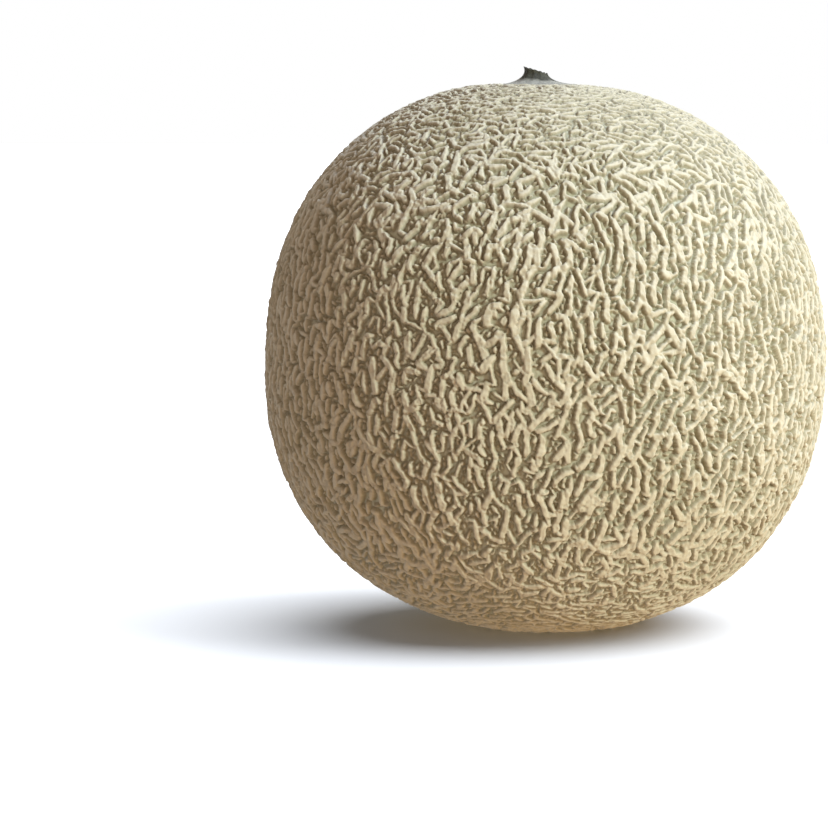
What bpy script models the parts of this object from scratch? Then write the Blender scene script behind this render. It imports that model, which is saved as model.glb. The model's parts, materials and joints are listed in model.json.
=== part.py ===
"""A cantaloupe melon standing on its blossom end: the fruit and the dried stub of its stem.

Metres, +Z up, front towards -Y. The origin is on the ground, under the middle of the melon.
"""

import math

import bmesh
import bpy
from mathutils import Matrix, Vector

# Fruit: a turned body, a little wider than tall, with full shoulders.
RADIUS = 0.0746
TOP_HEIGHT = 0.0745
BOTTOM_DEPTH = 0.0716
GROUND_TO_EQUATOR = 0.0701
FULLNESS = 2.24
LEAN = math.radians(1.95)
BODY_STEPS = 72
ROWS_PER_HALF = 20

# Stem: a stub flaring into a low collar, broken off at a slant.
STEM_PLACE_X = -0.0022
STEM_FOOT_HEIGHT = 0.07455
COLLAR_RADIUS = 0.0068
COLLAR_EDGE = 0.0004
NECK_RADIUS = 0.0032
NECK_HEIGHT = 0.0019
TIP_RADIUS = 0.0031
STUB_HEIGHT = 0.0060
STUB_LEAN = 0.0022
BREAK_HEIGHT = 0.0033
BREAK_SLOPE = math.radians(15.0)
STEM_STEPS = 32
FLARE_ROWS = 6
GAP = 0.0003


def clear_scene():
    for thing in list(bpy.data.objects):
        bpy.data.objects.remove(thing, do_unlink=True)
    for group in list(bpy.data.collections):
        bpy.data.collections.remove(group)


def new_collection(name):
    group = bpy.data.collections.new(name)
    bpy.context.scene.collection.children.link(group)
    return group


def new_material(name, colour, roughness):
    material = bpy.data.materials.new(name)
    material.use_nodes = True
    shader = material.node_tree.nodes["Principled BSDF"]
    shader.inputs["Base Color"].default_value = (*colour, 1.0)
    shader.inputs["Roughness"].default_value = roughness
    shader.inputs["Metallic"].default_value = 0.0
    material.diffuse_color = (*colour, 1.0)
    return material


def profile_object(name, points, group):
    """An open edge chain in the XZ plane, from its top point down to its bottom point."""
    mesh = bpy.data.meshes.new(name)
    vertices = [(x, 0.0, z) for x, z in points]
    edges = [(i, i + 1) for i in range(len(points) - 1)]
    mesh.from_pydata(vertices, edges, [])
    thing = bpy.data.objects.new(name, mesh)
    group.objects.link(thing)
    return thing


def turn(thing, steps):
    screw = thing.modifiers.new("turn", "SCREW")
    screw.axis = "Z"
    screw.angle = math.tau
    screw.steps = steps
    screw.render_steps = steps
    screw.use_merge_vertices = True
    screw.merge_threshold = 0.00001
    screw.use_smooth_shade = True
    screw.use_normal_calculate = True
    return screw


def cut(thing, cutter):
    boolean = thing.modifiers.new("cut", "BOOLEAN")
    boolean.operation = "DIFFERENCE"
    boolean.solver = "EXACT"
    boolean.object = cutter
    return boolean


def bake_modifiers(thing):
    """Replaces the object's mesh by the result of its modifiers, so that it can be shaped further."""
    bpy.context.view_layer.update()
    graph = bpy.context.evaluated_depsgraph_get()
    baked = bpy.data.meshes.new_from_object(thing.evaluated_get(graph))
    thing.modifiers.clear()
    thing.data = baked


def box_object(name, low, high, group):
    mesh = bpy.data.meshes.new(name)
    shape = bmesh.new()
    bmesh.ops.create_cube(shape, size=1.0)
    size = Vector(high) - Vector(low)
    middle = (Vector(high) + Vector(low)) / 2.0
    bmesh.ops.scale(shape, vec=size, verts=shape.verts)
    bmesh.ops.translate(shape, vec=middle, verts=shape.verts)
    shape.to_mesh(mesh)
    shape.free()
    thing = bpy.data.objects.new(name, mesh)
    thing.hide_render = True
    thing.display_type = "WIRE"
    group.objects.link(thing)
    return thing


def rounded(share):
    """How far up a rounded quarter reaches, as a share, at this share of its radius."""
    return (1.0 - share**FULLNESS) ** (1.0 / FULLNESS)


def fruit_profile():
    """Radius and height above the equator, from the top of the axis to its bottom."""
    points = []
    for row in range(ROWS_PER_HALF + 1):
        angle = row / ROWS_PER_HALF * math.pi / 2.0
        share = math.sin(angle) ** (2.0 / FULLNESS)
        points.append((RADIUS * share, TOP_HEIGHT * rounded(min(share, 1.0))))
    for row in range(1, ROWS_PER_HALF + 1):
        angle = row / ROWS_PER_HALF * math.pi / 2.0
        share = math.cos(angle) ** (2.0 / FULLNESS)
        points.append((RADIUS * share, -BOTTOM_DEPTH * rounded(min(share, 1.0))))
    points[0] = (0.0, TOP_HEIGHT)
    points[-1] = (0.0, -BOTTOM_DEPTH)
    return points


def lean_matrix():
    """Tips the fruit about its middle, so that its upper end goes towards +X."""
    return Matrix.Translation((0.0, 0.0, GROUND_TO_EQUATOR)) @ Matrix.Rotation(LEAN, 4, "Y")


def make_fruit(group, cutters):
    fruit = profile_object("melon", fruit_profile(), group)
    turn(fruit, BODY_STEPS)
    bake_modifiers(fruit)
    fruit.data.transform(lean_matrix())
    wide = 2.0 * RADIUS
    ground = box_object("ground_cutter", (-wide, -wide, -wide), (wide, wide, 0.0), cutters)
    cut(fruit, ground)
    return fruit


def stem_profile():
    """From the top of the stub's axis down its side, over the collar and back to the axis."""
    points = [(0.0, STUB_HEIGHT), (TIP_RADIUS, STUB_HEIGHT)]
    points.append((NECK_RADIUS, NECK_HEIGHT + 0.0012))
    for row in range(FLARE_ROWS + 1):
        angle = row / FLARE_ROWS * math.pi / 2.0
        radius = NECK_RADIUS + (COLLAR_RADIUS - NECK_RADIUS) * (1.0 - math.cos(angle))
        height = COLLAR_EDGE + (NECK_HEIGHT - COLLAR_EDGE) * (1.0 - math.sin(angle))
        points.append((radius, height))
    points.append((COLLAR_RADIUS, 0.0))
    points.append((0.0, 0.0))
    return points


def lean_stub(mesh):
    """Bends the stub towards -X, more the higher it is."""
    for vertex in mesh.vertices:
        share = max(vertex.co.z, 0.0) / STUB_HEIGHT
        vertex.co.x -= STUB_LEAN * share * share


def make_stem(group, cutters):
    stem = profile_object("stem", stem_profile(), group)
    turn(stem, STEM_STEPS)
    bake_modifiers(stem)
    lean_stub(stem.data)
    seat = Matrix.Translation((STEM_PLACE_X, 0.0, GROUND_TO_EQUATOR + STEM_FOOT_HEIGHT + GAP))
    stem.data.transform(seat)
    far = 4.0 * COLLAR_RADIUS
    broken = box_object("break_cutter", (-far, -far, 0.0), (far, far, far), cutters)
    slope = Matrix.Rotation(BREAK_SLOPE, 4, "Y")
    above = Matrix.Translation((0.0, 0.0, BREAK_HEIGHT))
    broken.data.transform(seat @ above @ slope)
    cut(stem, broken)
    return stem


def smooth(thing, angle):
    for face in thing.data.polygons:
        face.use_smooth = True
    thing.data.set_sharp_from_angle(angle=angle)


def main():
    clear_scene()
    group = new_collection("cantaloupe_melon")
    cutters = new_collection("cutters")
    fruit = make_fruit(group, cutters)
    stem = make_stem(group, cutters)
    fruit.data.materials.append(new_material("netted_rind", (0.52, 0.46, 0.31), 0.6))
    stem.data.materials.append(new_material("dried_stem", (0.21, 0.19, 0.13), 0.8))
    smooth(fruit, math.radians(40.0))
    smooth(stem, math.radians(40.0))


main()
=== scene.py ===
import json
import math

import bpy
import numpy as np
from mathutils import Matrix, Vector

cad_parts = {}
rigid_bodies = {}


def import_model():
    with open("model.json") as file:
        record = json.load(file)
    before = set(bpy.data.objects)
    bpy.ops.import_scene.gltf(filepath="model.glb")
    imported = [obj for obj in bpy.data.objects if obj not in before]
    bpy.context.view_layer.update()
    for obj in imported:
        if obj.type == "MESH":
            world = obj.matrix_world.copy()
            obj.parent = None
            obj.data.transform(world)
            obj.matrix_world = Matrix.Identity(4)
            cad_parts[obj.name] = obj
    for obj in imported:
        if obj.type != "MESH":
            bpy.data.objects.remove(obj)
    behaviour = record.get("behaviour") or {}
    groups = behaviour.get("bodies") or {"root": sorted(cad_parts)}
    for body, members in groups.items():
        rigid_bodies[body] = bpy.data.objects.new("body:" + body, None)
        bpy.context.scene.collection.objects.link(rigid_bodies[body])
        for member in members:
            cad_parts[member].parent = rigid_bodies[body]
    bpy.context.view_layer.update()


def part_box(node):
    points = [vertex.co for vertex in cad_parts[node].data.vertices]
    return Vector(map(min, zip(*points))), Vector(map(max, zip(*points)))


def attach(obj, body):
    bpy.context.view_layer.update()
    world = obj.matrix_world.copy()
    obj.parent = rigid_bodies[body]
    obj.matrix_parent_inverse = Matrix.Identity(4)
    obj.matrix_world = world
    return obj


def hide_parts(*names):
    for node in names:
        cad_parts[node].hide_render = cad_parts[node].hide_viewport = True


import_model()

# The fruit's shape, in metres and radians. The skin lies inside the CAD solid, and the netting on it
# stands a little proud of that solid.
RADIUS = 0.0746
TOP_HEIGHT = 0.0745
BOTTOM_DEPTH = 0.0716
GROUND_TO_EQUATOR = 0.0701
FULLNESS = 2.24
LEAN = math.radians(1.95)
SKIN_INSET = 0.00112
NET_HEIGHT = 0.00160
GROUND_CLEARANCE = 0.0006
LEFT_SHOULDER = (-0.53, -0.1, 0.84)
LEFT_SWELL = 0.0009
LEFT_SPREAD = 0.05
RIGHT_SHOULDER = (0.76, 0.0, 0.65)
RIGHT_DIP = 0.0006
RIGHT_SPREAD = 0.06
STEM_DIMPLE = 0.0013
STEM_DIMPLE_RADIUS = 0.0120
MESH_CELLS = 384
MAP_MARGIN = 0.006

# How the netting grows. One step of a growing tip is STEP long.
SEED = 27
GROWTH_CELLS = 240
STEP = 0.00045
COLLAR_CLEARANCE = 0.0074
STEM_PLACE = (-0.0047, 0.0, 0.0744)
CORD_GROUPS = 6
OWNED_REACH = 0.0010
OWNED_SPACING = 0.0003
CLEAR_REACH = 0.0038
CORD_REACH = 0.0020
SIDE_LOOK = 0.0019
LOOK_AHEAD = 0.0015
FORK_LOOK = 0.0017
JOINING_STEPS = 5
STUB_SHARE = 0.35
SHOULDER = 0.00032

# The stub of the stem, from the foot of its collar.
STEM_SEGMENTS = 96
STEM_ROWS = 60
STUB_RADIUS = 0.0028
COLLAR_FLARE = 0.0068
COLLAR_DEPTH = 0.00100
BURIED_SHARE = 0.04
BURIED_DEPTH = 0.0014
RIM_SHARE = 0.75
SCAR_DEPTH = 0.0010

# The camera, and how tall its view is at the fruit, in metres.
CAMERA_DISTANCE = 1.0
CAMERA_ELEVATION = math.radians(4.5)
VIEW_HEIGHT = 0.22512
FRUIT_MIDDLE = (0.0, 0.0, 0.0707)
AIM_OFFSET = (-0.0350, 0.0, -0.0165)


def smooth_step(low, high, value):
    share = np.clip((value - low) / (high - low), 0.0, 1.0)
    return share * share * (3.0 - 2.0 * share)


def unit(vectors):
    return vectors / np.linalg.norm(vectors, axis=1, keepdims=True)


# ---------------------------------------------------------------- noise

def value_noise(points, size, seed):
    """Smooth noise from -1 to 1 whose lumps are about this size."""
    scaled = points / size
    base = np.floor(scaled)
    share = scaled - base
    share = share * share * (3.0 - 2.0 * share)
    corner = base.astype(np.int64)
    total = np.zeros(len(points))
    for dx in (0, 1):
        for dy in (0, 1):
            for dz in (0, 1):
                weight = np.abs(1 - dx - share[:, 0]) * np.abs(1 - dy - share[:, 1])
                weight = weight * np.abs(1 - dz - share[:, 2])
                total += weight * corner_value(corner, (dx, dy, dz), seed)
    return total


def corner_value(corner, offset, seed):
    """A repeatable number from -1 to 1 for each corner of the noise's grid."""
    mixed = (corner[:, 0] + offset[0]) * 73856093
    mixed = mixed ^ ((corner[:, 1] + offset[1]) * 19349663)
    mixed = mixed ^ ((corner[:, 2] + offset[2]) * 83492791)
    mixed = (mixed + seed * 2654435761) & 0xFFFFFFFF
    mixed = ((mixed ^ (mixed >> 16)) * 0x45D9F3B) & 0xFFFFFFFF
    mixed = ((mixed ^ (mixed >> 16)) * 0x45D9F3B) & 0xFFFFFFFF
    mixed = mixed ^ (mixed >> 16)
    return mixed / 2147483647.5 - 1.0


# ---------------------------------------------------------------- a grid over the whole fruit

def face_grid(cells):
    """Directions of six square grids that cover a ball, as an array of 6 by side by side by 3."""
    line = np.tan(np.linspace(-1.0, 1.0, cells + 1) * math.pi / 4.0)
    first, second = np.meshgrid(line, line, indexing="ij")
    grids = np.zeros((6, cells + 1, cells + 1, 3))
    for axis in range(3):
        for side, sign in enumerate((1.0, -1.0)):
            grid = grids[axis * 2 + side]
            grid[..., axis] = sign
            grid[..., (axis + 1) % 3] = first
            grid[..., (axis + 2) % 3] = second
    return grids / np.linalg.norm(grids, axis=-1, keepdims=True)


def grid_place(directions, face, cells):
    """Where directions fall on one face's grid, as fractional row and column."""
    axis = face // 2
    sign = 1.0 if face % 2 == 0 else -1.0
    main = directions[:, axis] * sign
    main = np.maximum(main, 1e-6)
    first = np.arctan(directions[:, (axis + 1) % 3] / main)
    second = np.arctan(directions[:, (axis + 2) % 3] / main)
    row = (first * 4.0 / math.pi + 1.0) * cells / 2.0
    column = (second * 4.0 / math.pi + 1.0) * cells / 2.0
    return row, column


def nearest_cell(directions, cells):
    """The flat index of the grid point nearest to each direction."""
    rows = np.arange(len(directions))
    axis = np.abs(directions).argmax(axis=1)
    main = directions[rows, axis]
    face = axis * 2 + (main < 0.0)
    first = np.arctan(directions[rows, (axis + 1) % 3] / np.abs(main))
    second = np.arctan(directions[rows, (axis + 2) % 3] / np.abs(main))
    row = np.rint((first * 4.0 / math.pi + 1.0) * cells / 2.0).astype(np.int64)
    column = np.rint((second * 4.0 / math.pi + 1.0) * cells / 2.0).astype(np.int64)
    return (face * (cells + 1) + row) * (cells + 1) + column


def spread(directions, reach, cells, grid, visit):
    """Calls visit(flat index, which direction, distance) for the grid points near each direction."""
    smallest = RADIUS * math.pi / 2.0 / cells * 0.66
    window = int(math.ceil(reach / smallest))
    limit = (reach / RADIUS) ** 2
    for face in range(6):
        axis = face // 2
        sign = 1.0 if face % 2 == 0 else -1.0
        facing = np.flatnonzero(directions[:, axis] * sign > 0.35)
        row, column = grid_place(directions[facing], face, cells)
        inside = (row > -window) & (row < cells + window)
        inside &= (column > -window) & (column < cells + window)
        facing = facing[inside]
        row = np.rint(row[inside]).astype(np.int64)
        column = np.rint(column[inside]).astype(np.int64)
        near = directions[facing]
        for down in range(-window, window + 1):
            for across in range(-window, window + 1):
                if down * down + across * across > (window + 0.5) ** 2:
                    continue
                r = row + down
                c = column + across
                good = (r >= 0) & (r <= cells) & (c >= 0) & (c <= cells)
                r = r[good]
                c = c[good]
                gap = ((grid[face, r, c] - near[good]) ** 2).sum(axis=1)
                close = gap < limit
                index = (face * (cells + 1) + r[close]) * (cells + 1) + c[close]
                visit(index, facing[good][close], np.sqrt(gap[close]) * RADIUS)


# ---------------------------------------------------------------- the netting's growth

class Wander:
    """A slow random field over the fruit, made of a few waves."""

    def __init__(self, random, count, low, high):
        self.waves = unit(random.normal(size=(count, 3))) * random.uniform(low, high, (count, 1))
        self.phases = random.uniform(0.0, math.tau, count)

    def at(self, places):
        return np.sin(places @ self.waves.T + self.phases).sum(axis=1) / math.sqrt(len(self.phases))


def local_frame(places):
    """East and north on the fruit at each place."""
    east = unit(np.stack([-places[:, 1], places[:, 0], np.full(len(places), 1e-9)], axis=1))
    north = np.cross(places, east)
    return east, north


def turn_heading(places, headings, angles):
    side = np.cross(places, headings)
    return headings * np.cos(angles)[:, None] + side * np.sin(angles)[:, None]


def move(places, headings, distance):
    """Places moved along their headings by this distance, which shrinks where the netting is fine."""
    return unit(places + headings * (distance / RADIUS) * coarseness(places)[:, None])


def coarseness(places):
    """The scale of the netting at each place: finer near both ends, and uneven all over."""
    up = smooth_step(0.50, 0.88, places[:, 2])
    down = smooth_step(0.50, 0.85, -places[:, 2])
    uneven = value_noise(places * RADIUS, 0.013, 41)
    return (1.0 - 0.38 * up - 0.26 * down) * (1.0 + 0.19 * uneven)


def grain_angles(places, slant, random, loose):
    """An angle from east for each new cord: upright round the middle, level near both ends."""
    latitude = np.abs(np.arcsin(np.clip(places[:, 2], -1.0, 1.0)))
    level_share = smooth_step(math.radians(24.0), math.radians(60.0), latitude)
    level = random.random(len(places)) < level_share
    base = np.where(level, 0.0, math.pi / 2.0)
    mixing = 4.0 * level_share * (1.0 - level_share)
    scatter = math.radians(13.0) + math.radians(28.0) * mixing + loose
    return base + slant.at(places) * math.radians(7.5) + random.normal(size=len(places)) * scatter


class Netting:
    """All the cords grown so far, and which cord owns each spot."""

    def __init__(self, random):
        self.random = random
        self.stem = unit(np.array([STEM_PLACE]))[0]
        self.slant = Wander(random, 7, 3.0, 8.0)
        self.owner = np.zeros(6 * (GROWTH_CELLS + 1) ** 2, dtype=np.int64)
        self.clear = np.full(6 * (GROWTH_CELLS + 1) ** 2, 0.01)
        self.grid = face_grid(GROWTH_CELLS)
        self.directions = self.grid.reshape(-1, 3)
        self.scale = coarseness(self.directions)
        self.next_line = 1
        self.next_tip = 0
        self.next_piece = 0
        self.samples = []
        self.endings = {}
        self.disc = self.disc_offsets(OWNED_REACH, OWNED_SPACING)

    @staticmethod
    def disc_offsets(reach, spacing):
        count = int(reach / spacing)
        line = np.arange(-count, count + 1) * spacing
        x, y = np.meshgrid(line, line)
        keep = x**2 + y**2 <= reach**2
        return np.stack([x[keep], y[keep]], axis=1) / RADIUS

    def own(self, places, lines):
        """Marks the disc round each place as belonging to that place's cord."""
        east, north = local_frame(places)
        disc = self.disc[None, :, :] * coarseness(places)[:, None, None]
        spots = places[:, None, :] + east[:, None, :] * disc[:, :, :1]
        spots = spots + north[:, None, :] * disc[:, :, 1:]
        index = nearest_cell(unit(spots.reshape(-1, 3)), GROWTH_CELLS)
        lines = np.repeat(lines, len(self.disc))
        free = self.owner[index] == 0
        self.owner[index[free]] = lines[free]

    def owners_at(self, places):
        return self.owner[nearest_cell(places, GROWTH_CELLS)]

    def pick_seeds(self, room, spacing, chance):
        """Spots with at least this much room round them, about this far apart."""
        spots = np.flatnonzero(self.clear > room * self.scale)
        away = self.directions[spots] @ self.stem < math.cos(COLLAR_CLEARANCE / RADIUS)
        spots = self.random.permutation(spots[away])
        for shift in (0.0, 0.5):
            wide = (spacing * self.scale[spots])[:, None]
            cell = np.floor(self.directions[spots] * RADIUS / wide + shift + 1000.0).astype(np.int64)
            key = (cell[:, 0] * 4096 + cell[:, 1]) * 4096 + cell[:, 2]
            order = np.unique(key, return_index=True)[1]
            spots = spots[np.sort(order)]
        spots = spots[self.random.random(len(spots)) < chance]
        return self.directions[spots]

    def note_clear(self, places):
        """Notes how far the spots near these new places are from the nearest cord."""
        def visit(index, which, distance):
            np.minimum.at(self.clear, index, distance)

        spread(places, CLEAR_REACH, GROWTH_CELLS, self.grid, visit)

    def grow(self, plan):
        """Grows one generation of cords from fresh seeds, both ways from each seed."""
        random = self.random
        seeds = self.pick_seeds(plan["room"], plan["spacing"], plan["chance"])
        count = len(seeds)
        if count == 0:
            return
        angle = grain_angles(seeds, self.slant, random, plan["loose"])
        east, north = local_frame(seeds)
        heading = east * np.cos(angle)[:, None] + north * np.sin(angle)[:, None]
        lines = np.arange(self.next_line, self.next_line + count)
        self.next_line += count
        width = random.uniform(plan["width"][0], plan["width"][1], count)
        height = random.uniform(plan["height"][0], plan["height"][1], count)
        tips = {
            "place": np.concatenate([seeds, seeds]),
            "heading": np.concatenate([heading, -heading]),
            "angle": np.concatenate([angle, angle]),
            "line": np.concatenate([lines, lines]),
            "width": np.concatenate([width, width]),
            "height": np.concatenate([height, height]),
            "sway": np.zeros(2 * count),
            "age": np.zeros(2 * count, dtype=np.int64),
            "parent": np.zeros(2 * count, dtype=np.int64),
            "joining": np.zeros(2 * count, dtype=bool),
            "forked": np.zeros(2 * count),
        }
        tips["life"] = self.draw_lives(2 * count, plan)
        tips["tip"] = np.arange(self.next_tip, self.next_tip + 2 * count)
        self.next_tip += 2 * count
        pieces = self.new_pieces(count)
        tips["piece"] = np.concatenate([pieces, pieces])
        self.own(seeds, lines)
        self.record(tips)
        grown = []
        while len(tips["place"]):
            tips = self.advance(tips, plan)
            grown.append(tips["place"])
        everything = np.concatenate([seeds] + grown)
        self.note_clear(everything)

    def draw_lives(self, count, plan):
        low, high = plan["length"]
        spread_out = self.random.random(count) ** 1.5
        return np.ceil((low + (high - low) * spread_out) / STEP).astype(np.int64)

    def new_pieces(self, count):
        """Numbers for the straight pieces that cords are made of; each kink starts a new piece."""
        pieces = np.arange(self.next_piece, self.next_piece + count)
        self.next_piece += count
        return pieces

    def draw_branch_lives(self, count, plan):
        """About a third of the forks stay short stubs."""
        stub = self.random.random(count) < STUB_SHARE
        stubs = self.random.integers(3, 6, count)
        return np.where(stub, stubs, self.draw_lives(count, plan))

    def record(self, tips):
        if len(tips["place"]):
            names = ("place", "tip", "age", "width", "height", "piece", "forked")
            self.samples.append(np.column_stack([tips[name] for name in names]))

    def advance(self, tips, plan):
        """Moves every tip one step on: it sways, kinks, keeps clear of other cords, joins or ends."""
        random = self.random
        count = len(tips["place"])
        place = tips["place"]
        heading = tips["heading"]
        east, north = local_frame(place)
        wanted = east * np.cos(tips["angle"])[:, None] + north * np.sin(tips["angle"])[:, None]
        wanted = wanted * np.where((wanted * heading).sum(axis=1) < 0.0, -1.0, 1.0)[:, None]
        side = np.cross(place, heading)
        pull = np.arctan2((wanted * side).sum(axis=1), (wanted * heading).sum(axis=1))
        tips["sway"] = 0.75 * tips["sway"] + random.normal(size=count) * plan["wobble"]
        kink = (random.random(count) < plan["kink"]) & (tips["age"] > 2)
        kinks = random.uniform(0.35, 0.80, count) + np.where(random.random(count) < 0.25, 0.6, 0.0)
        kinks = kinks * np.where(random.random(count) < 0.5, -1.0, 1.0)
        angle = 0.14 * pull + tips["sway"] + np.where(kink, kinks, 0.0)

        to_left = turn_heading(place, heading, np.full(count, 0.80))
        to_right = turn_heading(place, heading, np.full(count, -0.80))
        left = self.blocked(tips, move(place, to_left, SIDE_LOOK))
        right = self.blocked(tips, move(place, to_right, SIDE_LOOK))
        ahead = self.blocked(tips, move(place, heading, LOOK_AHEAD))
        angle = angle + np.where(left & ~right, -0.16, 0.0) + np.where(right & ~left, 0.16, 0.0)
        angle = np.where(tips["joining"], 0.0, angle)

        meeting = ahead & ~tips["joining"]
        joins = meeting & (random.random(count) < plan["join"])
        stops = meeting & ~joins
        tips["joining"] = tips["joining"] | joins
        tips["life"] = np.where(joins, JOINING_STEPS, tips["life"])
        tips["life"] = np.where(stops, 0, tips["life"])

        heading = turn_heading(place, heading, angle)
        fresh = move(place, heading, STEP)
        heading = unit(heading - fresh * (heading * fresh).sum(axis=1, keepdims=True))
        tips["place"] = fresh
        tips["heading"] = heading
        tips["age"] = tips["age"] + 1
        tips["piece"] = np.where(kink, self.new_pieces(count), tips["piece"])
        tips["life"] = tips["life"] - 1

        near_stem = fresh @ self.stem > math.cos(COLLAR_CLEARANCE / RADIUS)
        going = (tips["life"] > 0) & ~near_stem
        for tip, age, joined in zip(tips["tip"][~going], tips["age"][~going], tips["joining"][~going]):
            self.endings[int(tip)] = (int(age), bool(joined))
        self.own(tips["place"], tips["line"])
        self.record(tips)
        blunt = ~going & ~tips["joining"] & ~near_stem & (tips["forked"] < 1.5)
        blunt &= random.random(count) < plan["blunt"]
        crossings = self.cross_stubs({name: values[blunt] for name, values in tips.items()})
        tips = {name: values[going] for name, values in tips.items()}
        tips = self.branch(tips, plan)
        return {name: np.concatenate([tips[name], crossings[name]]) for name in tips}

    def cross_stubs(self, tips):
        """A stub to one side, which makes the free end of a cord blunt."""
        count = len(tips["place"])
        side = np.where(self.random.random(count) < 0.5, 1.0, -1.0)
        turn = side * self.random.uniform(1.1, 1.9, count)
        tips["heading"] = turn_heading(tips["place"], tips["heading"], turn)
        tips["angle"] = tips["angle"] + turn
        tips["width"] = tips["width"] * 0.72
        tips["age"] = np.zeros(count, dtype=np.int64)
        tips["life"] = self.random.integers(1, 4, count)
        tips["forked"] = np.full(count, 2.0)
        tips["piece"] = self.new_pieces(count)
        tips["tip"] = np.arange(self.next_tip, self.next_tip + count)
        self.next_tip += count
        return tips

    def blocked(self, tips, probes):
        """Whether another cord owns the probed spot; a young fork may still touch its parent."""
        owners = self.owners_at(probes)
        strange = (owners != 0) & (owners != tips["line"])
        return strange & ~((owners == tips["parent"]) & (tips["age"] < 7))

    def branch(self, tips, plan):
        """Some tips fork: a narrower cord leaves at an angle."""
        random = self.random
        count = len(tips["place"])
        fork = (random.random(count) < plan["fork"]) & (tips["age"] > 4) & ~tips["joining"]
        chosen = np.flatnonzero(fork)
        if len(chosen) == 0:
            return tips
        place = tips["place"][chosen]
        side = np.where(random.random(len(chosen)) < 0.5, 1.0, -1.0)
        turn = side * random.uniform(math.radians(35.0), math.radians(85.0), len(chosen))
        heading = turn_heading(place, tips["heading"][chosen], turn)
        open_ahead = self.owners_at(move(place, heading, FORK_LOOK)) == 0
        chosen = chosen[open_ahead]
        if len(chosen) == 0:
            return tips
        place = place[open_ahead]
        heading = heading[open_ahead]
        count = len(chosen)
        east, north = local_frame(place)
        angle = np.arctan2((heading * north).sum(axis=1), (heading * east).sum(axis=1))
        lines = np.arange(self.next_line, self.next_line + count)
        self.next_line += count
        new = {
            "place": place,
            "heading": heading,
            "angle": angle,
            "line": lines,
            "width": tips["width"][chosen] * random.uniform(0.75, 0.98, count),
            "height": tips["height"][chosen] * random.uniform(0.85, 1.0, count),
            "sway": np.zeros(count),
            "age": np.zeros(count, dtype=np.int64),
            "parent": tips["line"][chosen],
            "joining": np.zeros(count, dtype=bool),
            "forked": np.ones(count),
            "life": self.draw_branch_lives(count, plan),
            "piece": self.new_pieces(count),
            "tip": np.arange(self.next_tip, self.next_tip + count),
        }
        self.next_tip += count
        return {name: np.concatenate([tips[name], new[name]]) for name in tips}

    def finished_samples(self):
        """Every point of every cord, with the free ends drawn in and the steps halved."""
        samples = np.concatenate(self.samples)
        order = np.lexsort((samples[:, 4], samples[:, 3]))
        samples = samples[order]
        tips = samples[:, 3].astype(np.int64)
        lengths = np.zeros(self.next_tip)
        joined = np.zeros(self.next_tip, dtype=bool)
        for tip, (age, was_joined) in self.endings.items():
            lengths[tip] = age
            joined[tip] = was_joined
        to_end = (lengths[tips] - samples[:, 4]) * STEP
        from_start = samples[:, 4] * STEP
        drawn_in = 0.72 + 0.28 * np.clip(to_end / 0.0010, 0.0, 1.0)
        samples[:, 5] *= np.where(joined[tips], 1.0, drawn_in)
        rising = 0.60 + 0.40 * np.clip(from_start / 0.0014, 0.0, 1.0)
        samples[:, 6] *= np.where(samples[:, 8] == 1.0, rising, 1.0)
        samples[:, 6] *= 0.80 + 0.20 * np.clip(to_end / 0.0010, 0.0, 1.0)
        piece = samples[:, 7].astype(np.int64)
        samples[:, 5] *= self.random.uniform(0.86, 1.14, self.next_piece)[piece]
        samples[:, 6] *= self.random.uniform(0.88, 1.04, self.next_piece)[piece]
        same = (tips[1:] == tips[:-1]) & (piece[1:] == piece[:-1])
        middle = (samples[1:] + samples[:-1])[same] / 2.0
        return np.concatenate([samples, middle])


def grow_netting():
    """Coarse cords first, then finer ones in the room that is left, and specks at the end."""
    netting = Netting(np.random.default_rng(SEED))
    generations = [
        dict(room=0.0031, spacing=0.0054, chance=0.9, width=(0.00074, 0.00096), height=(0.90, 1.0),
             length=(0.0012, 0.0048), fork=0.150, join=0.90, wobble=0.026, kink=0.26, loose=0.10, blunt=0.6),
        dict(room=0.0027, spacing=0.0037, chance=0.9, width=(0.00068, 0.00088), height=(0.84, 1.0),
             length=(0.0008, 0.0038), fork=0.130, join=0.90, wobble=0.028, kink=0.26, loose=0.26, blunt=0.6),
        dict(room=0.0022, spacing=0.0027, chance=0.95, width=(0.00054, 0.00076), height=(0.74, 0.97),
             length=(0.0006, 0.0030), fork=0.070, join=0.80, wobble=0.035, kink=0.20, loose=0.45, blunt=0.4),
        dict(room=0.0017, spacing=0.0020, chance=0.66, width=(0.00044, 0.00066), height=(0.66, 0.94),
             length=(0.0001, 0.0016), fork=0.02, join=0.0, wobble=0.06, kink=0.16, loose=0.55, blunt=0.3),
        dict(room=0.00135, spacing=0.0015, chance=0.8, width=(0.00036, 0.00054), height=(0.45, 0.80),
             length=(0.0001, 0.0006), fork=0.0, join=0.0, wobble=0.10, kink=0.10, loose=1.0, blunt=0.0),
    ]
    for plan in generations:
        netting.grow(plan)
        netting.grow(plan)
    return netting.finished_samples()


def warped_grid(cells):
    """The grid with its points pushed about a little, which makes the cords' edges ragged."""
    grid = face_grid(cells)
    spots = grid.reshape(-1, 3) * RADIUS
    push = np.stack([value_noise(spots, 0.0013, seed) for seed in (31, 32, 33)], axis=1) * 0.00018
    push += np.stack([value_noise(spots, 0.0006, seed) for seed in (36, 37, 38)], axis=1) * 0.00017
    return unit(spots + push).reshape(grid.shape)


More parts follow.
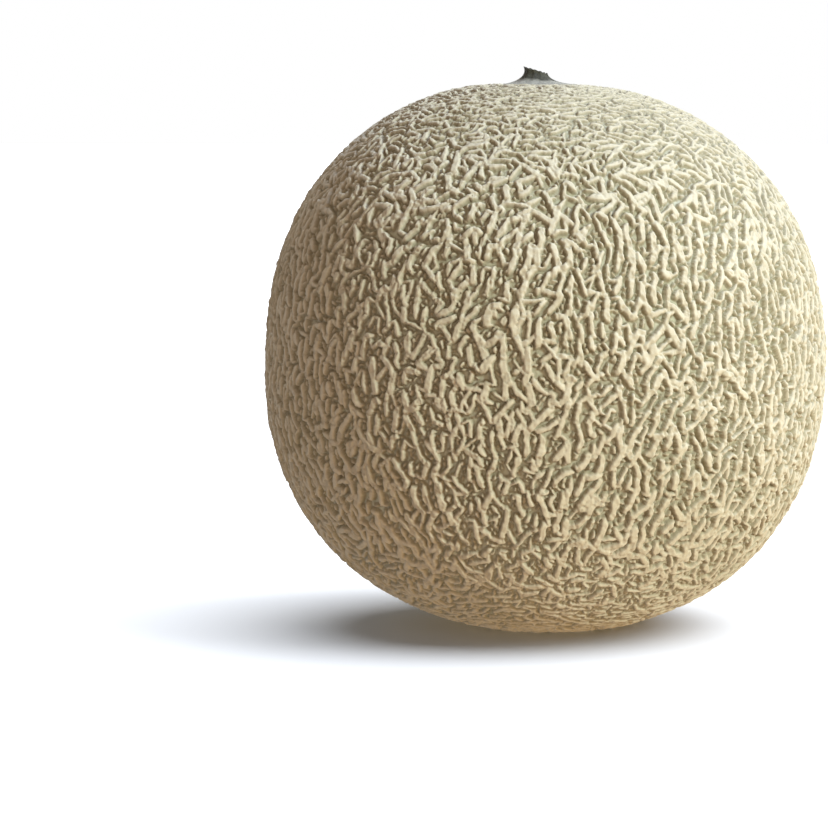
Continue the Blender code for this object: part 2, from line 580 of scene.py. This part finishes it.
def netting_fields(cells):
    """For each grid point: how high the cords are, how far it is from a cord's edge, and the creases."""
    samples = grow_netting()
    places = unit(samples[:, :3])
    beads = 1.0 + 0.20 * value_noise(places * RADIUS, 0.0021, 34)
    widths = samples[:, 5] * beads * coarseness(places)
    heights = samples[:, 6] * (1.0 + 0.5 * (beads - 1.0))
    groups = samples[:, 7].astype(np.int64) % CORD_GROUPS
    shoulders = np.minimum(widths, SHOULDER)
    size = 6 * (cells + 1) ** 2
    best = np.zeros(CORD_GROUPS * size)
    edge = np.full(size, 0.002)

    def visit(index, which, distance):
        beyond = distance - widths[which]
        across = np.clip(1.0 + beyond / shoulders[which], 0.0, 1.0)
        profile = np.sqrt(1.0 - across**2) * (0.93 + 0.07 * np.minimum(distance / widths[which], 1.0) ** 2)
        np.maximum.at(best, groups[which] * size + index, heights[which] * profile)
        np.minimum.at(edge, index, beyond)

    spread(places, CORD_REACH, cells, warped_grid(cells), visit)
    best = best.reshape(CORD_GROUPS, size)
    best.sort(axis=0)
    crease = np.exp(-((best[-1] - best[-2]) / 0.10) ** 2) * smooth_step(0.25, 0.6, best[-2])
    return best[-1], edge, crease


# ---------------------------------------------------------------- the fruit

def base_distance(directions):
    """How far the smooth skin is from the middle of the fruit."""
    across = np.hypot(directions[:, 0], directions[:, 1])
    up = directions[:, 2]
    depth = np.where(up > 0.0, TOP_HEIGHT, BOTTOM_DEPTH)
    total = (across / RADIUS) ** FULLNESS + (np.abs(up) / depth) ** FULLNESS
    left = unit(np.array([LEFT_SHOULDER]))[0]
    right = unit(np.array([RIGHT_SHOULDER]))[0]
    swell = LEFT_SWELL * np.exp((directions @ left - 1.0) / LEFT_SPREAD)
    swell = swell - RIGHT_DIP * np.exp((directions @ right - 1.0) / RIGHT_SPREAD)
    return total ** (-1.0 / FULLNESS) + swell


def welded_grid(cells):
    """The grid's points without repeats, its squares, and each square corner's place on the bake map."""
    side = cells + 1
    line = np.arange(side)
    first, second = np.meshgrid(line, line, indexing="ij")
    keys = np.zeros((6, side, side), dtype=np.int64)
    for axis in range(3):
        for face_side in range(2):
            place = [None, None, None]
            place[axis] = np.full((side, side), cells if face_side == 0 else 0)
            place[(axis + 1) % 3] = first
            place[(axis + 2) % 3] = second
            keys[axis * 2 + face_side] = (place[0] * side + place[1]) * side + place[2]
    unique, chosen, back = np.unique(keys.ravel(), return_index=True, return_inverse=True)
    back = back.reshape(6, side, side)
    squares = []
    maps = []
    for face in range(6):
        ids = back[face]
        corners = [ids[:-1, :-1], ids[1:, :-1], ids[1:, 1:], ids[:-1, 1:]]
        rows = [first[:-1, :-1], first[1:, :-1], first[1:, 1:], first[:-1, 1:]]
        columns = [second[:-1, :-1], second[1:, :-1], second[1:, 1:], second[:-1, 1:]]
        if face % 2 == 1:
            corners.reverse()
            rows.reverse()
            columns.reverse()
        squares.append(np.stack(corners, axis=-1).reshape(-1, 4))
        maps.append(map_places(face, np.stack(rows, axis=-1), np.stack(columns, axis=-1), cells))
    return chosen, np.concatenate(squares), np.concatenate(maps)


def map_places(face, rows, columns, cells):
    """Places one face of the grid in its own sixth of the bake map."""
    across = (face % 3 + MAP_MARGIN + (1.0 - 2.0 * MAP_MARGIN) * rows / cells) / 3.0
    up = (face // 3 + MAP_MARGIN + (1.0 - 2.0 * MAP_MARGIN) * columns / cells) / 2.0
    return np.stack([across, up], axis=-1).reshape(-1, 2)


def make_mesh(name, points, faces, uv=None):
    mesh = bpy.data.meshes.new(name)
    corners = faces.shape[1]
    mesh.vertices.add(len(points))
    mesh.vertices.foreach_set("co", points.astype(np.float32).ravel())
    mesh.loops.add(faces.size)
    mesh.loops.foreach_set("vertex_index", faces.astype(np.int32).ravel())
    mesh.polygons.add(len(faces))
    mesh.polygons.foreach_set("loop_start", np.arange(len(faces), dtype=np.int32) * corners)
    mesh.update(calc_edges=True)
    mesh.polygons.foreach_set("use_smooth", np.ones(len(faces), dtype=bool))
    if uv is not None:
        layer = mesh.uv_layers.new(name="OFBake")
        layer.data.foreach_set("uv", uv.astype(np.float32).ravel())
    mesh.validate()
    thing = bpy.data.objects.new(name, mesh)
    bpy.context.scene.collection.objects.link(thing)
    return thing


def store(thing, name, values):
    layer = thing.data.attributes.new(name, "FLOAT", "POINT")
    layer.data.foreach_set("value", values.astype(np.float32))


def lean_points(points):
    """Tips points about the fruit's middle, so that the upper end goes towards +X."""
    c = math.cos(LEAN)
    s = math.sin(LEAN)
    leaned = points.copy()
    leaned[:, 0] = points[:, 0] * c + points[:, 2] * s
    leaned[:, 2] = points[:, 2] * c - points[:, 0] * s
    leaned[:, 2] += GROUND_TO_EQUATOR
    return leaned


def make_fruit():
    """The skin with its netting as relief, flat where the fruit rests on the ground."""
    rise, edge, crease = netting_fields(MESH_CELLS)
    chosen, squares, uv = welded_grid(MESH_CELLS)
    directions = face_grid(MESH_CELLS).reshape(-1, 3)[chosen]
    rise = rise[chosen]
    edge = edge[chosen]
    crease = crease[chosen]
    spots = directions * RADIUS
    lumps = value_noise(spots, 0.0008, 5) * 0.11 + value_noise(spots, 0.003, 6) * 0.08
    low = 1.0 - 0.58 * smooth_step(0.40, 0.85, -directions[:, 2])
    low = low - 0.48 * smooth_step(0.40, 0.92, directions[:, 2])
    height = NET_HEIGHT * low * rise * (1.0 + lumps) * (1.0 - 0.22 * crease)
    dip = np.exp(-((edge - 0.00015) / 0.0003) ** 2) * 0.00012
    skin = value_noise(spots, 0.0012, 7) * 0.00006 + value_noise(spots, 0.022, 8) * 0.0003 - dip
    stem = unit(np.array([STEM_PLACE]))[0]
    from_stem = np.linalg.norm(directions - stem, axis=1) * RADIUS
    dimple = STEM_DIMPLE * np.exp(-(from_stem / STEM_DIMPLE_RADIUS) ** 2)
    distance = base_distance(directions) - SKIN_INSET + skin + NET_HEIGHT * 0.9 * (1.0 - low) - dimple
    points = lean_points(directions * distance[:, None])
    out = lean_points(directions * (distance + height)[:, None]) - points
    points[:, 2] = np.maximum(points[:, 2], GROUND_CLEARANCE)
    points = points + out
    points[:, 2] = np.maximum(points[:, 2], 0.0)
    fruit = make_mesh("fruit", points, squares, uv)
    store(fruit, "cover", smooth_step(0.00010, -0.00022, edge))
    # Painted shade: a dark-brown mask along each cord's edge and, more weakly, in the creases where cords
    # meet; a little weaker towards the bottom.
    groove_shade = np.maximum(np.exp(-((edge - 0.00012) / 0.00034) ** 2), crease * 0.4)
    store(fruit, "groove_shade", groove_shade * (1.0 - 0.35 * smooth_step(0.40, 0.85, -directions[:, 2])))
    # The cords' height; the rind also uses it to paint their low sides darker, as painted shade.
    store(fruit, "crest", rise)
    fruit.data.materials.append(rind_material())
    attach(fruit, "root")
    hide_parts("melon")
    return fruit


# ---------------------------------------------------------------- the stem

def make_stem():
    """The dry stub with its collar, as rings from the buried foot to the scar in its broken end."""
    segments = STEM_SEGMENTS
    rows = STEM_ROWS
    low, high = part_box("stem")
    foot = Vector(((low[0] + high[0]) / 2.0, (low[1] + high[1]) / 2.0, low[2]))
    around = np.linspace(0.0, math.tau, segments, endpoint=False)
    rings = []
    shades = []
    for row in range(rows):
        share = row / (rows - 1)
        rings.append(stem_ring(share, around))
        shades.append(np.full(segments, share))
    points = np.concatenate(rings + [stem_foot_middle(), stem_scar_middle()])
    shade = np.concatenate(shades + [np.zeros(1), np.ones(1)])
    faces = []
    for row in range(rows - 1):
        for k in range(segments):
            nxt = (k + 1) % segments
            faces.append((row * segments + k, row * segments + nxt,
                          (row + 1) * segments + nxt, (row + 1) * segments + k))
    bottom = rows * segments
    top = bottom + 1
    for k in range(segments):
        nxt = (k + 1) % segments
        faces.append((bottom, nxt, k))
        faces.append((top, (rows - 1) * segments + k, (rows - 1) * segments + nxt))
    points = points + np.array(foot)
    mesh = bpy.data.meshes.new("stem_stub")
    mesh.from_pydata([tuple(p) for p in points], [], faces)
    mesh.polygons.foreach_set("use_smooth", np.ones(len(faces), dtype=bool))
    stem = bpy.data.objects.new("stem_stub", mesh)
    bpy.context.scene.collection.objects.link(stem)
    store(stem, "dry", shade)
    stem.data.materials.append(stem_material())
    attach(stem, "root")
    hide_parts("stem")
    return stem


def stem_ring(share, around):
    """One ring of the stub, from the buried edge of its collar up over the break and into the scar."""
    wall = np.clip((share - BURIED_SHARE) / (RIM_SHARE - BURIED_SHARE), 0.0, 1.0)
    radius = STUB_RADIUS + COLLAR_FLARE * (1.0 - wall) ** 2.0
    ridges = 0.05 * np.sin(5.0 * around + 0.6) + 0.03 * np.sin(11.0 * around + 1.9)
    lobes = 0.09 * np.sin(6.0 * around + 0.8) + 0.05 * np.sin(13.0 * around)
    radius = radius * (1.0 + ridges * wall + lobes * (1.0 - wall) ** 2)
    top = 0.0028 - 0.0009 * np.cos(around) + 0.00018 * np.sin(7.0 * around)
    height = -COLLAR_DEPTH + (top + COLLAR_DEPTH) * wall**1.45
    if share < BURIED_SHARE:
        height = height - BURIED_DEPTH
    if share > RIM_SHARE:
        inward = (share - RIM_SHARE) / (1.0 - RIM_SHARE)
        radius = radius * (1.0 - 0.92 * inward)
        height = height - SCAR_DEPTH * math.sin(inward * math.pi / 2.0)
    x = radius * np.cos(around) - 0.0010 * (np.maximum(height, 0.0) / 0.0042) ** 2
    y = radius * np.sin(around)
    return np.stack([x, y, height * np.ones_like(x)], axis=1)


def stem_foot_middle():
    return np.array([[0.0, 0.0, -COLLAR_DEPTH]])


def stem_scar_middle():
    return np.array([[-0.0005, 0.0, 0.0018]])


# ---------------------------------------------------------------- materials

def new_material(name):
    material = bpy.data.materials.new(name)
    material.use_nodes = True
    nodes = material.node_tree.nodes
    links = material.node_tree.links
    return material, nodes, links, nodes["Principled BSDF"]


def add_noise(nodes, links, coordinates, scale, detail=3.0, roughness=0.55):
    noise = nodes.new("ShaderNodeTexNoise")
    noise.inputs["Scale"].default_value = scale
    noise.inputs["Detail"].default_value = detail
    noise.inputs["Roughness"].default_value = roughness
    links.new(coordinates, noise.inputs["Vector"])
    return noise.outputs["Fac"]


def add_range(nodes, links, value, low, high, to_low=0.0, to_high=1.0):
    mapped = nodes.new("ShaderNodeMapRange")
    mapped.inputs["From Min"].default_value = low
    mapped.inputs["From Max"].default_value = high
    mapped.inputs["To Min"].default_value = to_low
    mapped.inputs["To Max"].default_value = to_high
    links.new(value, mapped.inputs["Value"])
    return mapped.outputs["Result"]


def add_mix(nodes, links, factor, first, second, blend="MIX"):
    mix = nodes.new("ShaderNodeMix")
    mix.data_type = "RGBA"
    mix.blend_type = blend
    if isinstance(factor, float):
        mix.inputs["Factor"].default_value = factor
    else:
        links.new(factor, mix.inputs["Factor"])
    for socket, colour in ((mix.inputs[6], first), (mix.inputs[7], second)):
        if isinstance(colour, tuple):
            socket.default_value = (*colour, 1.0)
        else:
            links.new(colour, socket)
    return mix.outputs[2]


def add_maths(nodes, links, operation, first, second):
    maths = nodes.new("ShaderNodeMath")
    maths.operation = operation
    for socket, value in ((maths.inputs[0], first), (maths.inputs[1], second)):
        if isinstance(value, (int, float)):
            socket.default_value = value
        else:
            links.new(value, socket)
    return maths.outputs[0]


def add_bump(nodes, links, height, strength, distance):
    bump = nodes.new("ShaderNodeBump")
    bump.inputs["Strength"].default_value = strength
    bump.inputs["Distance"].default_value = distance
    links.new(height, bump.inputs["Height"])
    return bump


def add_attribute(nodes, name):
    attribute = nodes.new("ShaderNodeAttribute")
    attribute.attribute_name = name
    return attribute.outputs["Fac"]


def rind_material():
    """Corky tan netting over a grey-green skin, with painted shade along the cords' edges, in the creases
    and on their low sides, and pale flecks that also act as painted highlights.
    """
    material, nodes, links, shader = new_material("netted_rind")
    place = nodes.new("ShaderNodeTexCoord").outputs["Object"]
    cover = add_attribute(nodes, "cover")
    groove_shade = add_attribute(nodes, "groove_shade")
    crest = add_attribute(nodes, "crest")
    patches = add_noise(nodes, links, place, 45.0)
    blotches = add_noise(nodes, links, place, 420.0)
    grain_and_highlight = add_noise(nodes, links, place, 2600.0, 4.0, 0.65)

    green = add_mix(nodes, links, add_range(nodes, links, patches, 0.35, 0.65),
                    (0.425, 0.440, 0.315), (0.470, 0.450, 0.325))
    skin = add_mix(nodes, links, add_range(nodes, links, blotches, 0.35, 0.7),
                   green, (0.53, 0.53, 0.40))
    tan = add_mix(nodes, links, add_range(nodes, links, patches, 0.35, 0.65),
                  (0.60, 0.56, 0.435), (0.65, 0.61, 0.485))
    cork = add_mix(nodes, links, add_range(nodes, links, blotches, 0.3, 0.75),
                   tan, (0.54, 0.495, 0.37))
    # Pale cream flecks from the fine noise: the cork's own pale texture, which also stands in for painted
    # highlights on the cords' tops.
    cork = add_mix(nodes, links, add_range(nodes, links, grain_and_highlight, 0.55, 0.75, 0.0, 0.4),
                   cork, (0.72, 0.70, 0.60))
    # Painted shade: darker brown low on each cord's sides, where it meets the skin, so the cords look
    # rounded; the lowest cords come out darker all over.
    cork = add_mix(nodes, links, add_range(nodes, links, crest, 0.20, 0.66),
                   (0.44, 0.385, 0.26), cork)
    colour = add_mix(nodes, links, cover, skin, cork)
    # Painted shade: dark brown laid over the edges of the cords and the creases between them.
    colour = add_mix(nodes, links, add_maths(nodes, links, "MULTIPLY", groove_shade, 0.62), colour,
                     (0.205, 0.155, 0.082))
    links.new(colour, shader.inputs["Base Color"])
    links.new(add_range(nodes, links, cover, 0.0, 1.0, 0.48, 0.78), shader.inputs["Roughness"])
    rough = add_bump(nodes, links, grain_and_highlight, 0.55, 0.00012)
    links.new(rough.outputs["Normal"], shader.inputs["Normal"])
    shader.inputs["Specular IOR Level"].default_value = 0.35
    return material


def stem_material():
    """Dry grey-brown stalk, darker towards the break, over a pale grey-green collar."""
    material, nodes, links, shader = new_material("dried_stem")
    place = nodes.new("ShaderNodeTexCoord").outputs["Object"]
    dry = add_attribute(nodes, "dry")
    fibres = add_noise(nodes, links, place, 1400.0, 4.0, 0.6)
    mottled = add_mix(nodes, links, add_range(nodes, links, fibres, 0.35, 0.65),
                      (0.21, 0.205, 0.185), (0.34, 0.335, 0.285))
    dark = add_mix(nodes, links, add_range(nodes, links, fibres, 0.35, 0.7),
                   (0.022, 0.022, 0.014), (0.060, 0.058, 0.038))
    uneven = add_maths(nodes, links, "MULTIPLY", add_noise(nodes, links, place, 500.0), 0.16)
    dryness = add_maths(nodes, links, "ADD", dry, uneven)
    colour = add_mix(nodes, links, add_range(nodes, links, dryness, 0.38, 0.50), mottled, dark)
    links.new(colour, shader.inputs["Base Color"])
    links.new(add_range(nodes, links, fibres, 0.2, 0.8, 0.7, 0.9), shader.inputs["Roughness"])
    rough = add_bump(nodes, links, fibres, 0.7, 0.0003)
    links.new(rough.outputs["Normal"], shader.inputs["Normal"])
    return material


def floor_material():
    """Plain and pale; the lights of its own bring it to white outside the shadow."""
    material, nodes, links, shader = new_material("pale_floor")
    shader.inputs["Base Color"].default_value = (0.56, 0.60, 0.66, 1.0)
    shader.inputs["Roughness"].default_value = 0.6
    return material


# ---------------------------------------------------------------- stage, light and camera

def make_floor():
    mesh = bpy.data.meshes.new("floor")
    reach = 6.0
    corners = [(-reach, -reach, 0.0), (reach, -reach, 0.0), (reach, reach, 0.0), (-reach, reach, 0.0)]
    mesh.from_pydata(corners, [], [(0, 1, 2, 3)])
    floor = bpy.data.objects.new("floor", mesh)
    bpy.context.scene.collection.objects.link(floor)
    floor.data.materials.append(floor_material())
    floor.visible_diffuse = False
    return floor


def aim(thing, target):
    direction = Vector(target) - thing.location
    thing.rotation_euler = direction.to_track_quat("-Z", "Y").to_euler()


def add_sun(name, azimuth, elevation, strength, softness, colour=(1.0, 1.0, 1.0)):
    """A soft distant light. Azimuth 0 shines from the front and 90 from the right, in degrees."""
    light = bpy.data.lights.new(name, "SUN")
    light.energy = strength
    light.angle = math.radians(softness)
    light.color = colour
    thing = bpy.data.objects.new(name, light)
    round_it = math.radians(azimuth)
    up = math.radians(elevation)
    thing.location = (math.sin(round_it) * math.cos(up), -math.cos(round_it) * math.cos(up), math.sin(up))
    bpy.context.scene.collection.objects.link(thing)
    aim(thing, (0.0, 0.0, 0.0))
    return thing


def light_scene(pieces, floor):
    """White surroundings with a weak even fill, five soft lights on the pieces and two on the floor.

    The warm glow from below stands for light that a white table sends up, and isn't bounced on.
    """
    world = bpy.data.worlds.new("studio")
    world.use_nodes = True
    nodes = world.node_tree.nodes
    links = world.node_tree.links
    seen = nodes.new("ShaderNodeBackground")
    seen.inputs["Color"].default_value = (1.0, 1.0, 1.0, 1.0)
    seen.inputs["Strength"].default_value = 1.0
    fill = nodes["Background"]
    fill.inputs["Color"].default_value = (1.0, 1.0, 1.0, 1.0)
    fill.inputs["Strength"].default_value = 0.31
    path = nodes.new("ShaderNodeLightPath")
    either = nodes.new("ShaderNodeMixShader")
    links.new(path.outputs["Is Camera Ray"], either.inputs["Fac"])
    links.new(fill.outputs["Background"], either.inputs[1])
    links.new(seen.outputs["Background"], either.inputs[2])
    links.new(either.outputs["Shader"], nodes["World Output"].inputs["Surface"])
    bpy.context.scene.world = world
    key = add_sun("key", 50.0, 20.0, 2.89, 14.0, (0.83, 1.0, 0.97))
    front = add_sun("front", 0.0, 5.0, 0.67, 160.0, (1.0, 0.39, 0.0))
    top = add_sun("top", 95.0, 55.0, 2.93, 20.0, (0.6, 0.73, 1.0))
    glow = add_sun("glow", 90.0, -30.0, 1.62, 140.0, (1.0, 0.57, 0.12))
    behind = add_sun("behind", 178.0, 20.0, 1.1, 50.0, (1.0, 0.94, 0.84))
    side = add_sun("side", 90.0, 42.0, 3.6, 50.0, (1.0, 0.98, 0.95))
    above = add_sun("above", 125.0, 68.0, 6.6, 90.0, (1.0, 0.98, 0.96))
    glow.data.cycles.max_bounces = 0
    for light in (key, front, top, glow, behind):
        shine_only_on(light, "lit_pieces", pieces)
    for light in (side, above):
        shine_only_on(light, "lit_floor", [floor])
    bpy.context.scene.view_settings.view_transform = "Standard"
    bpy.context.scene.view_settings.look = "None"


def shine_only_on(light, name, things):
    group = bpy.data.collections.get(name) or bpy.data.collections.new(name)
    for thing in things:
        if thing.name not in group.objects:
            group.objects.link(thing)
    light.light_linking.receiver_collection = group


def make_camera():
    """Looks level and a little down, with the fruit right of and above the frame's middle."""
    data = bpy.data.cameras.new("camera")
    data.sensor_width = 36.0
    data.lens = 36.0 * CAMERA_DISTANCE / VIEW_HEIGHT
    data.clip_end = 50.0
    camera = bpy.data.objects.new("camera", data)
    back = CAMERA_DISTANCE * math.cos(CAMERA_ELEVATION)
    up = CAMERA_DISTANCE * math.sin(CAMERA_ELEVATION)
    middle = Vector(FRUIT_MIDDLE)
    camera.location = middle + Vector((0.0, -back, up))
    bpy.context.scene.collection.objects.link(camera)
    aim(camera, middle + Vector(AIM_OFFSET))
    bpy.context.scene.camera = camera
    return camera


fruit = make_fruit()
stem = make_stem()
floor = make_floor()
light_scene([fruit, stem], floor)
make_camera()

bpy.context.view_layer.update()
